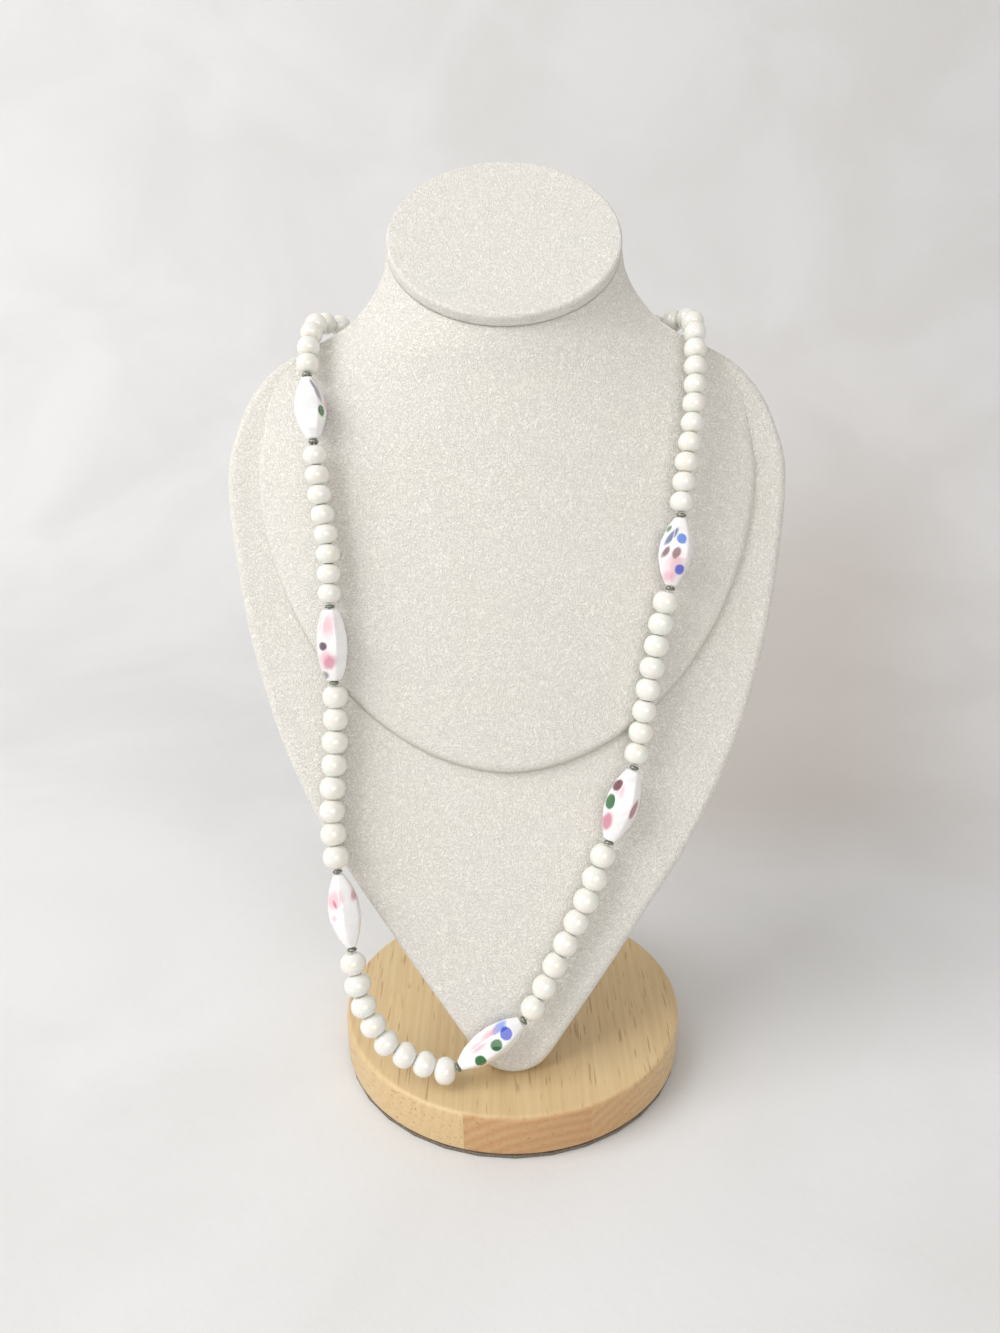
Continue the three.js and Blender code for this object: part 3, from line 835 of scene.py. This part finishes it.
class NECKLACE_OT_bust_board(bpy.types.Operator):
    """Makes the cloth-covered board that the bust is built on"""

    bl_idname = "necklace.bust_board"
    bl_label = "Bust board"

    def execute(self, context):
        settings = context.scene.necklace_bust
        shape = bmesh.new()
        front_radius = settings.board_rounding / MM
        plate(shape, board_outline(), BOARD_THICKNESS, front_radius, BOARD_BACK_RADIUS, 8)
        to_bust = BUST.inverted()
        cut = bmesh.ops.bisect_plane(
            shape,
            geom=[*shape.verts, *shape.edges, *shape.faces],
            plane_co=to_bust @ Vector((0, 0, BASE_TOP + BOARD_GAP)),
            plane_no=to_bust.to_3x3() @ Vector((0, 0, 1)),
            clear_inner=True,
        )
        bmesh.ops.holes_fill(shape, edges=only(bmesh.types.BMEdge, cut["geom_cut"]))
        velvet = velvet_finish("board_velvet", settings)
        finish_piece(shape, "velvet_board", velvet, ["bust_board"])
        return {"FINISHED"}


def chest_half_width(up):
    """Half-width of the chest's outline: a rounded bib below, shoulders and neck above."""
    if up >= BIB_CENTRE:
        return smooth_column(NECK_SIDES, "half", up)
    drop = (BIB_CENTRE - up) / BIB_DROP
    return BIB_HALF_WIDTH * (1 - drop**BIB_EXPONENT) ** (1 / BIB_EXPONENT)


def neck_rim(up):
    """Half-width and height of the neck's slanted elliptical rim at one level."""
    along = (up - SEAT_FRONT.y) / (SEAT_BACK.y - SEAT_FRONT.y)
    half = NECK_HALF_WIDTH * 2 * math.sqrt(max(along * (1 - along), 0))
    return half, SEAT_FRONT.z + along * (SEAT_BACK.z - SEAT_FRONT.z)


def rim_distance(x, up):
    """How far inside the bib's or shoulder's outline a point lies."""
    half = chest_half_width(up)
    if up >= BIB_CENTRE:
        return half - abs(x)
    drop = (BIB_CENTRE - up) / BIB_DROP
    across = abs(x) / BIB_HALF_WIDTH
    level = (across**BIB_EXPONENT + drop**BIB_EXPONENT) ** (1 / BIB_EXPONENT)
    share = across / (across + drop + 1e-6)
    return (1 - level) * (share * BIB_HALF_WIDTH + (1 - share) * BIB_DROP)


def chest_front(x, up):
    """Height of the chest's front over the board."""
    half = chest_half_width(up)
    edge = smooth_column(CHEST_SECTIONS, "edge", up)
    bell = smooth_column(CHEST_SECTIONS, "bell", up)

    def fall(at):
        return max(1 - (at / half) ** 2, 0) ** bell

    crest = smooth_column(CHEST_SECTIONS, "crest", up)
    rim_half, rim_out = neck_rim(up)
    if up > SEAT_FRONT.y and rim_out > edge + RIM_LIFT:
        crest = edge + (rim_out - edge) / max(fall(rim_half), LEAST_FALL)
    height = edge + (crest - edge) * fall(x)
    inside = max(rim_distance(x, up), 0)
    if inside < RIM_ROUND:
        tucked = edge * (1 - math.sqrt(1 - (1 - inside / RIM_ROUND) ** 2))
        height -= tucked * (1 - smooth_step(up, TUCK_FADE, BOARD_TOP))
    return max(height, CLOTH_LIFT) if up < BOARD_TOP else height


def chest_back(x, up):
    """Height of the neck's back, which starts level with the board's and leans forward."""
    half = chest_half_width(up)
    edge = smooth_column(CHEST_SECTIONS, "edge", up)
    lean = smooth_step(up, BOARD_TOP, NECK_BACK_FLAT)
    back = -BOARD_THICKNESS + lean * (SEAT_BACK.z + BOARD_THICKNESS)
    return edge + (back - edge) * math.sqrt(max(1 - (x / half) ** 2, 0))


def chest_levels():
    """Levels of the chest's rows, closer together where its outline turns."""
    turns = [1.5, 4, 6.5, 9, 12, *range(15, 91, 3)]
    bib = [BIB_CENTRE - BIB_DROP * math.cos(math.radians(turn)) for turn in turns]
    shoulders = [BIB_CENTRE + 2.5 * step for step in range(1, 17)]
    neck = [BOARD_TOP + 0.3 + 1.8 * step for step in range(38)]
    return [*bib, *shoulders, BOARD_TOP, *neck]


def seat_frame():
    """The slanted seat of the cap: x across, y towards the back, z off the neck."""
    along = (SEAT_BACK - SEAT_FRONT).normalized()
    off = Vector((1, 0, 0)).cross(along)
    turn = Matrix((Vector((1, 0, 0)), along, off)).transposed().to_4x4()
    return Matrix.Translation((SEAT_FRONT + SEAT_BACK) / 2) @ turn


class NECKLACE_OT_chest_and_neck(bpy.types.Operator):
    """Makes the raised bib with the shoulders and the neck above it"""

    bl_idname = "necklace.chest_and_neck"
    bl_label = "Chest and neck"

    def execute(self, context):
        levels = chest_levels()
        ring = CHEST_FRONT_STEPS + CHEST_BACK_STEPS
        shape = bmesh.new()
        bmesh.ops.create_grid(shape, x_segments=ring, y_segments=len(levels) - 1, size=1)
        seam = shape.verts.layers.float.new("seam")
        for vert in shape.verts:
            column = round((vert.co.x + 1) / 2 * ring)
            up = levels[round((vert.co.y + 1) / 2 * (len(levels) - 1))]
            half = chest_half_width(up)
            if column <= CHEST_FRONT_STEPS:
                x = -half * math.cos(math.pi * column / CHEST_FRONT_STEPS)
                vert.co = (x, up, chest_front(x, up))
                # Painted shade along the bib's seam, fading out up the shoulders.
                near = 1 - smooth_step(rim_distance(x, up), SEAM_CORE, SEAM_REACH)
                vert[seam] = near * (1 - smooth_step(up, SEAM_FULL, SEAM_GONE))
            else:
                x = half * math.cos(math.pi * (column - CHEST_FRONT_STEPS) / CHEST_BACK_STEPS)
                out = CLOTH_LIFT if up <= BOARD_TOP else chest_back(x, up)
                vert.co = (x, up, out)
        weld(shape, 0.004)
        seat = seat_frame()
        bmesh.ops.bisect_plane(
            shape,
            geom=[*shape.verts, *shape.edges, *shape.faces],
            plane_co=seat.translation,
            plane_no=seat.to_3x3() @ Vector((0, 0, 1)),
            clear_outer=True,
        )
        bmesh.ops.holes_fill(shape, edges=[edge for edge in shape.edges if edge.is_boundary])
        velvet = velvet_finish("chest_velvet", context.scene.necklace_bust, seam=True)
        finish_piece(shape, "velvet_chest_and_neck", velvet, ["chest_and_neck"])
        return {"FINISHED"}


class NECKLACE_OT_neck_cap(bpy.types.Operator):
    """Makes the oval cloth-covered disc on top of the neck"""

    bl_idname = "necklace.neck_cap"
    bl_label = "Neck cap"

    def execute(self, context):
        shape = bmesh.new()
        depth = (SEAT_BACK - SEAT_FRONT).length / 2
        outline = circle(NECK_HALF_WIDTH, depth, CAP_SEGMENTS)
        plate(shape, outline, CAP_THICKNESS, CAP_TOP_RADIUS, CAP_UNDER_RADIUS)
        velvet = velvet_finish("cap_velvet", context.scene.necklace_bust)
        place = BUST @ seat_frame() @ Matrix.Translation((0, 0, CAP_THICKNESS + CAP_GAP))
        finish_piece(shape, "velvet_neck_cap", velvet, ["neck_cap"], place)
        return {"FINISHED"}


# ------------------------------------------------------------------ strand


class Thread:
    """The thread's closed loop in the bust's frame, measured along its length."""

    DIVISIONS = 4000

    def __init__(self, route):
        self.points = [Vector(row) for row in route]
        samples = [self.at_share(k / self.DIVISIONS) for k in range(self.DIVISIONS + 1)]
        self.reached = [0.0]
        for before, after in zip(samples, samples[1:]):
            self.reached.append(self.reached[-1] + (after - before).length)
        self.length = self.reached[-1]

    def at_share(self, share):
        """A point of the centripetal curve through the route."""
        count = len(self.points)
        whole = share * count
        i = int(math.floor(whole))
        s = whole - i
        p = [self.points[(i + k) % count] for k in (-1, 0, 1, 2)]
        d = [math.sqrt((p[k + 1] - p[k]).length) for k in range(3)]
        start = (p[1] - p[0]) / d[0] - (p[2] - p[0]) / (d[0] + d[1]) + (p[2] - p[1]) / d[1]
        end = (p[2] - p[1]) / d[1] - (p[3] - p[1]) / (d[1] + d[2]) + (p[3] - p[2]) / d[2]
        start *= d[1]
        end *= d[1]
        bend = -3 * p[1] + 3 * p[2] - 2 * start - end
        twist = 2 * p[1] - 2 * p[2] + start + end
        return p[1] + start * s + bend * s * s + twist * s * s * s

    def at(self, distance):
        distance %= self.length
        i = min(max(bisect.bisect_right(self.reached, distance) - 1, 0), self.DIVISIONS - 1)
        span = self.reached[i + 1] - self.reached[i]
        return self.at_share((i + (distance - self.reached[i]) / span) / self.DIVISIONS)

    def lie(self, distance):
        """Matrix at a distance: x away from the loop's centre, y along the thread."""
        centre = self.at(distance)
        along = (self.at(distance + 0.05) - self.at(distance - 0.05)).normalized()
        outward = Vector((centre.x - LOOP_CENTRE.x, centre.y - LOOP_CENTRE.y, 0))
        outward = (outward - along * outward.dot(along)).normalized()
        side = outward.cross(along)
        turn = Matrix((outward, along, side)).transposed().to_4x4()
        return Matrix.Translation(centre) @ turn


THREAD = Thread(ROUTE)


def strand_places():
    """The start of every row of the strand along the thread."""
    ends = 2 * (SPACER_LENGTH + BEAD_GAP)
    filled = CLASP_LENGTH + len(LONG_BEADS) * ends
    filled += sum(max(row.count, 1) * row.length for row in STRAND)
    space = (THREAD.length - filled) / (len(STRAND) + 1)
    reached = CLASP_LENGTH / 2 + space
    starts = {}
    for row in STRAND:
        starts[row.name] = reached
        span = row.count * row.length if row.count else row.length + ends
        reached += span + space
    return starts


def add_round_bead(shape, place, row, chance, unevenness):
    """One flat-ended bead with a small dimple at each end of its hole, a little out of true."""
    made = bmesh.ops.create_uvsphere(shape, u_segments=24, v_segments=16, radius=1)
    verts = made["verts"]
    offset = Vector((chance.uniform(-9, 9), chance.uniform(-9, 9), chance.uniform(-9, 9)))
    width = row.diameter / 2 * (BEAD_WIDTH + chance.uniform(-unevenness, unevenness))
    reach = row.length / 2 * (1 - chance.uniform(0, 0.5 * unevenness))
    for vert in verts:
        x, y, z = vert.co
        swell = 1 + 0.8 * unevenness * noise.noise(vert.co * 1.1 + offset)
        across = math.hypot(x, y)
        fuller = across ** (BEAD_FULLNESS - 1) if across > 1e-6 else 0
        radial = width * swell * fuller
        axial = math.copysign(min(BEAD_END * abs(z) ** BEAD_FULLNESS, 1), z) * reach
        if across < HOLE_SHARE:
            axial *= 1 - DIMPLE_DEPTH * (1 - across / HOLE_SHARE)
        vert.co = (x * radial, y * radial, axial)
    forward, sideways = (chance.uniform(-BEAD_TILT, BEAD_TILT) for _ in range(2))
    lean = Euler((math.radians(90 + forward), 0, math.radians(sideways)))
    bmesh.ops.transform(shape, matrix=place @ lean.to_matrix().to_4x4(), verts=verts)


class NECKLACE_OT_round_beads(bpy.types.Operator):
    """Makes the seven runs of round pearly beads"""

    bl_idname = "necklace.round_beads"
    bl_label = "Round beads"

    def execute(self, context):
        settings = context.scene.necklace_strand
        glass = pearl_finish("pearl_glass", settings)
        chance = random.Random(57)
        starts = strand_places()
        for row in ROUND_BEADS:
            shape = bmesh.new()
            for k in range(row.count):
                place = THREAD.lie(starts[row.name] + (k + 0.5) * row.length)
                add_round_bead(shape, place, row, chance, settings.unevenness)
            finish_piece(shape, f"pearly_{row.name}", glass, [row.name])
        return {"FINISHED"}


def add_long_bead(shape, row, place):
    """A six-sided bead, its ridges softened, charted for its painting."""
    half = row.length / 2
    girth = row.diameter / 2 * 1.02
    outline = [
        (row.end, -half),
        (row.shoulder, -row.length * LONG_BEAD_SHOULDER),
        (girth, -row.length * LONG_BEAD_MIDDLE),
        (girth, row.length * LONG_BEAD_MIDDLE),
        (row.shoulder, row.length * LONG_BEAD_SHOULDER),
        (row.end, half),
    ]
    made = bmesh.ops.create_circle(shape, cap_ends=True, segments=6, radius=row.end)
    bmesh.ops.translate(shape, verts=made["verts"], vec=(0, 0, -half))
    face = made["verts"][0].link_faces[0]
    for (radius, height), (wider, higher) in zip(outline, outline[1:]):
        grown = bmesh.ops.extrude_face_region(shape, geom=[face])["geom"]
        verts = only(bmesh.types.BMVert, grown)
        if face.is_valid:
            bmesh.ops.delete(shape, geom=[face], context="FACES_ONLY")
        bmesh.ops.translate(shape, verts=verts, vec=(0, 0, higher - height))
        for vert in verts:
            vert.co.x *= wider / radius
            vert.co.y *= wider / radius
        face = only(bmesh.types.BMFace, grown)[0]
    bmesh.ops.holes_fill(shape, edges=[edge for edge in shape.edges if edge.is_boundary])
    bmesh.ops.recalc_face_normals(shape, faces=shape.faces)
    round_edges(shape, list(shape.edges), LONG_BEAD_EDGE, 4)
    bmesh.ops.rotate(shape, verts=shape.verts, matrix=Matrix.Rotation(math.pi / 2, 3, "X"))
    roll = math.radians(30 + row.roll)  # 30 degrees turns a flat side to the front
    bmesh.ops.rotate(shape, verts=shape.verts, matrix=Matrix.Rotation(roll, 3, "Y"))
    chart = shape.verts.layers.float_vector.new("chart")
    along = place.to_3x3() @ Vector((0, 1, 0))
    outward = place.to_3x3() @ Vector((1, 0, 0))
    up_sign = 1 if along.y > 0 else -1
    right_sign = 1 if outward.x > 0 else -1
    for vert in shape.verts:
        vert[chart] = (vert.co.x * right_sign, vert.co.y * up_sign, 0)
    bmesh.ops.transform(shape, matrix=place, verts=shape.verts)


class NECKLACE_OT_long_beads(bpy.types.Operator):
    """Makes the six long painted beads"""

    bl_idname = "necklace.long_beads"
    bl_label = "Long beads"

    def execute(self, context):
        starts = strand_places()
        for row in LONG_BEADS:
            middle = starts[row.name] + SPACER_LENGTH + BEAD_GAP + row.length / 2
            shape = bmesh.new()
            add_long_bead(shape, row, THREAD.lie(middle))
            name = f"painted_{row.name}"
            number = row.name[-1]
            dabs = [dab for dab in DABS if dab.bead == int(number)]
            glass = painted_finish(f"painted_glass_{number}", dabs)
            finish_piece(shape, name, glass, [row.name], flat_angle=50)
        return {"FINISHED"}


def spin_profile(shape, profile, steps):
    """Spins a profile of (radius, height) pairs about Y into a closed shape."""
    verts = [shape.verts.new((radius, height, 0)) for radius, height in profile]
    edges = [shape.edges.new(pair) for pair in zip(verts, verts[1:])]
    bmesh.ops.spin(
        shape,
        geom=[*verts, *edges],
        cent=(0, 0, 0),
        axis=(0, 1, 0),
        angle=2 * math.pi,
        steps=steps,
        use_merge=True,
    )


def spacer_profile():
    """Round section of a spacer bead, a little longer than it is thick."""
    tube = SPACER_LENGTH / 2
    turns = [2 * math.pi * k / 12 for k in range(13)]
    middle = SPACER_RADIUS - tube
    return [(middle + tube * math.cos(turn), tube * 1.1 * math.sin(turn)) for turn in turns]


class NECKLACE_OT_spacer_beads(bpy.types.Operator):
    """Makes the twelve small dark beads beside the long ones"""

    bl_idname = "necklace.spacer_beads"
    bl_label = "Spacer beads"

    def execute(self, context):
        starts = strand_places()
        shape = bmesh.new()
        names = []
        for row in LONG_BEADS:
            middle = THREAD.lie(starts[row.name] + SPACER_LENGTH + BEAD_GAP + row.length / 2)
            reach = row.length / 2 + BEAD_GAP + SPACER_LENGTH / 2
            for letter, ahead in (("a", -reach), ("b", reach)):
                ring = bmesh.new()
                spin_profile(ring, spacer_profile(), 24)
                weld(ring)
                ring.transform(middle @ Matrix.Translation((0, ahead, 0)))
                mesh = bpy.data.meshes.new("spacer")
                ring.to_mesh(mesh)
                ring.free()
                shape.from_mesh(mesh)
                bpy.data.meshes.remove(mesh)
                names.append(f"spacer_{row.name[-1]}{letter}")
        metal = spacer_finish("spacer_metal")
        finish_piece(shape, "dark_spacer_beads", metal, names)
        return {"FINISHED"}


class NECKLACE_OT_clasp(bpy.types.Operator):
    """Makes the plain barrel clasp behind the neck"""

    bl_idname = "necklace.clasp"
    bl_label = "Clasp"

    def execute(self, context):
        half = CLASP_LENGTH / 2
        outline = [(CLASP_RADIUS * row.radius, half * row.height) for row in CLASP_OUTLINE]
        lower = [(radius, -height) for radius, height in reversed(outline[:-1])]
        shape = bmesh.new()
        spin_profile(shape, [*outline, *lower], 32)
        weld(shape)
        shape.transform(THREAD.lie(0))
        metal = clasp_finish("clasp_metal")
        finish_piece(shape, "barrel_clasp", metal, ["clasp"])
        return {"FINISHED"}


class NECKLACE_OT_thread(bpy.types.Operator):
    """Makes the thread that shows between the beads"""

    bl_idname = "necklace.thread"
    bl_label = "Thread"

    def execute(self, context):
        radius = context.scene.necklace_strand.thread_width / MM / 2
        shape = bmesh.new()
        bmesh.ops.create_grid(shape, x_segments=THREAD_SIDES, y_segments=THREAD_RINGS, size=1)
        for vert in shape.verts:
            turn = (vert.co.x + 1) * math.pi
            share = round((vert.co.y + 1) / 2 * THREAD_RINGS) % THREAD_RINGS / THREAD_RINGS
            around = Vector((math.cos(turn), 0, math.sin(turn))) * radius
            vert.co = THREAD.lie(share * THREAD.length) @ around
        weld(shape)
        finish_piece(shape, "strand_thread", thread_finish("waxed_thread"), [])
        return {"FINISHED"}


# ------------------------------------------------------------------ stage

CAMERA_PLACE = (-0.0030, -0.3194, 0.2623)
CAMERA_PITCH = math.radians(69.86)
CAMERA_ROLL = math.radians(-0.7)
CAMERA_LENS = 28.36

BACKDROP_FRONT = -1.6
BACKDROP_BACK = 0.35
BACKDROP_BEND = 0.4
BACKDROP_TOP = 2.0
BACKDROP_WIDTH = 4.0
SKY_COLOUR = (0.98, 0.965, 0.955, 1)
LIGHTS_AIM = Vector((0, 0, 0.15))
LIGHTS = table(
    "name power place size colour",
    ("window", "window_power", (-1.1, -0.5, 1.15), (1.1, 1.3), (0.99, 0.99, 0.985)),
    ("room_fill", "fill_power", (0.35, -1.4, 0.75), (1.2, 1.0), (1.0, 0.945, 0.9)),
)


def backdrop_profile():
    """The paper from the side: flat under the object and bent up behind it."""
    turns = [math.radians(7.5 * step) for step in range(13)]
    bend = [
        (BACKDROP_BACK + BACKDROP_BEND * math.sin(turn), BACKDROP_BEND * (1 - math.cos(turn)))
        for turn in turns
    ]
    return [(BACKDROP_FRONT, 0), *bend, (BACKDROP_BACK + BACKDROP_BEND, BACKDROP_TOP)]


def add_light(row, power):
    light = bpy.data.lights.new(row.name, "AREA")
    light.shape = "RECTANGLE"
    light.size, light.size_y = row.size
    light.energy = power
    light.color = row.colour
    lamp = bpy.data.objects.new(row.name, light)
    lamp.location = row.place
    lamp.rotation_euler = (LIGHTS_AIM - lamp.location).to_track_quat("-Z", "Y").to_euler()
    bpy.context.scene.collection.objects.link(lamp)


class NECKLACE_OT_stage(bpy.types.Operator):
    """Sets the backdrop, the lights and the camera"""

    bl_idname = "necklace.stage"
    bl_label = "Stage"

    def execute(self, context):
        settings = context.scene.necklace_stage
        scene = context.scene

        shape = bmesh.new()
        verts = [shape.verts.new((-BACKDROP_WIDTH / 2, y, z)) for y, z in backdrop_profile()]
        edges = [shape.edges.new(pair) for pair in zip(verts, verts[1:])]
        grown = bmesh.ops.extrude_edge_only(shape, edges=edges)["geom"]
        moved = only(bmesh.types.BMVert, grown)
        bmesh.ops.translate(shape, verts=moved, vec=(BACKDROP_WIDTH, 0, 0))
        make_object(shape, "backdrop_paper", paper_finish("backdrop_paper"))

        world = bpy.data.worlds.new("room")
        world.use_nodes = True
        sky = world.node_tree.nodes["Background"]
        sky.inputs["Color"].default_value = SKY_COLOUR
        sky.inputs["Strength"].default_value = settings.sky
        scene.world = world
        scene.view_settings.view_transform = "Standard"
        for row in LIGHTS:
            add_light(row, getattr(settings, row.power))

        camera = bpy.data.cameras.new("camera")
        camera.lens = CAMERA_LENS
        camera.sensor_width = 36
        camera.sensor_fit = "AUTO"
        camera.clip_start = 0.01
        camera.dof.use_dof = False
        holder = bpy.data.objects.new("camera", camera)
        turn = Matrix.Rotation(CAMERA_PITCH, 4, "X") @ Matrix.Rotation(CAMERA_ROLL, 4, "Z")
        holder.matrix_world = Matrix.Translation(CAMERA_PLACE) @ turn
        scene.collection.objects.link(holder)
        scene.camera = holder
        return {"FINISHED"}


class NECKLACE_PT_pieces(bpy.types.Panel):
    """Lists the pieces that can be made again"""

    bl_idname = "NECKLACE_PT_pieces"
    bl_label = "Necklace on bust"
    bl_space_type = "VIEW_3D"
    bl_region_type = "UI"
    bl_category = "Necklace"

    def draw(self, context):
        for group in ("necklace_base", "necklace_bust", "necklace_strand", "necklace_stage"):
            settings = getattr(context.scene, group)
            for name in settings.bl_rna.properties.keys():
                if name not in ("rna_type", "name"):
                    self.layout.prop(settings, name)
        for operator in OPERATORS:
            self.layout.operator(operator.bl_idname)


OPERATORS = (
    NECKLACE_OT_stage,
    NECKLACE_OT_wood_base,
    NECKLACE_OT_dark_pad,
    NECKLACE_OT_support_post,
    NECKLACE_OT_bust_board,
    NECKLACE_OT_chest_and_neck,
    NECKLACE_OT_neck_cap,
    NECKLACE_OT_round_beads,
    NECKLACE_OT_long_beads,
    NECKLACE_OT_spacer_beads,
    NECKLACE_OT_clasp,
    NECKLACE_OT_thread,
)
SETTINGS = {
    "necklace_base": BaseSettings,
    "necklace_bust": BustSettings,
    "necklace_strand": StrandSettings,
    "necklace_stage": StageSettings,
}
CLASSES = (*SETTINGS.values(), *OPERATORS, NECKLACE_PT_pieces)


def register():
    for item in CLASSES:
        bpy.utils.register_class(item)
    for name, group in SETTINGS.items():
        setattr(bpy.types.Scene, name, bpy.props.PointerProperty(type=group))


def unregister():
    for name in SETTINGS:
        delattr(bpy.types.Scene, name)
    for item in reversed(CLASSES):
        bpy.utils.unregister_class(item)


def main():
    register()
    for operator in OPERATORS:
        group, name = operator.bl_idname.split(".")
        getattr(getattr(bpy.ops, group), name)()


if __name__ == "__main__":
    main()
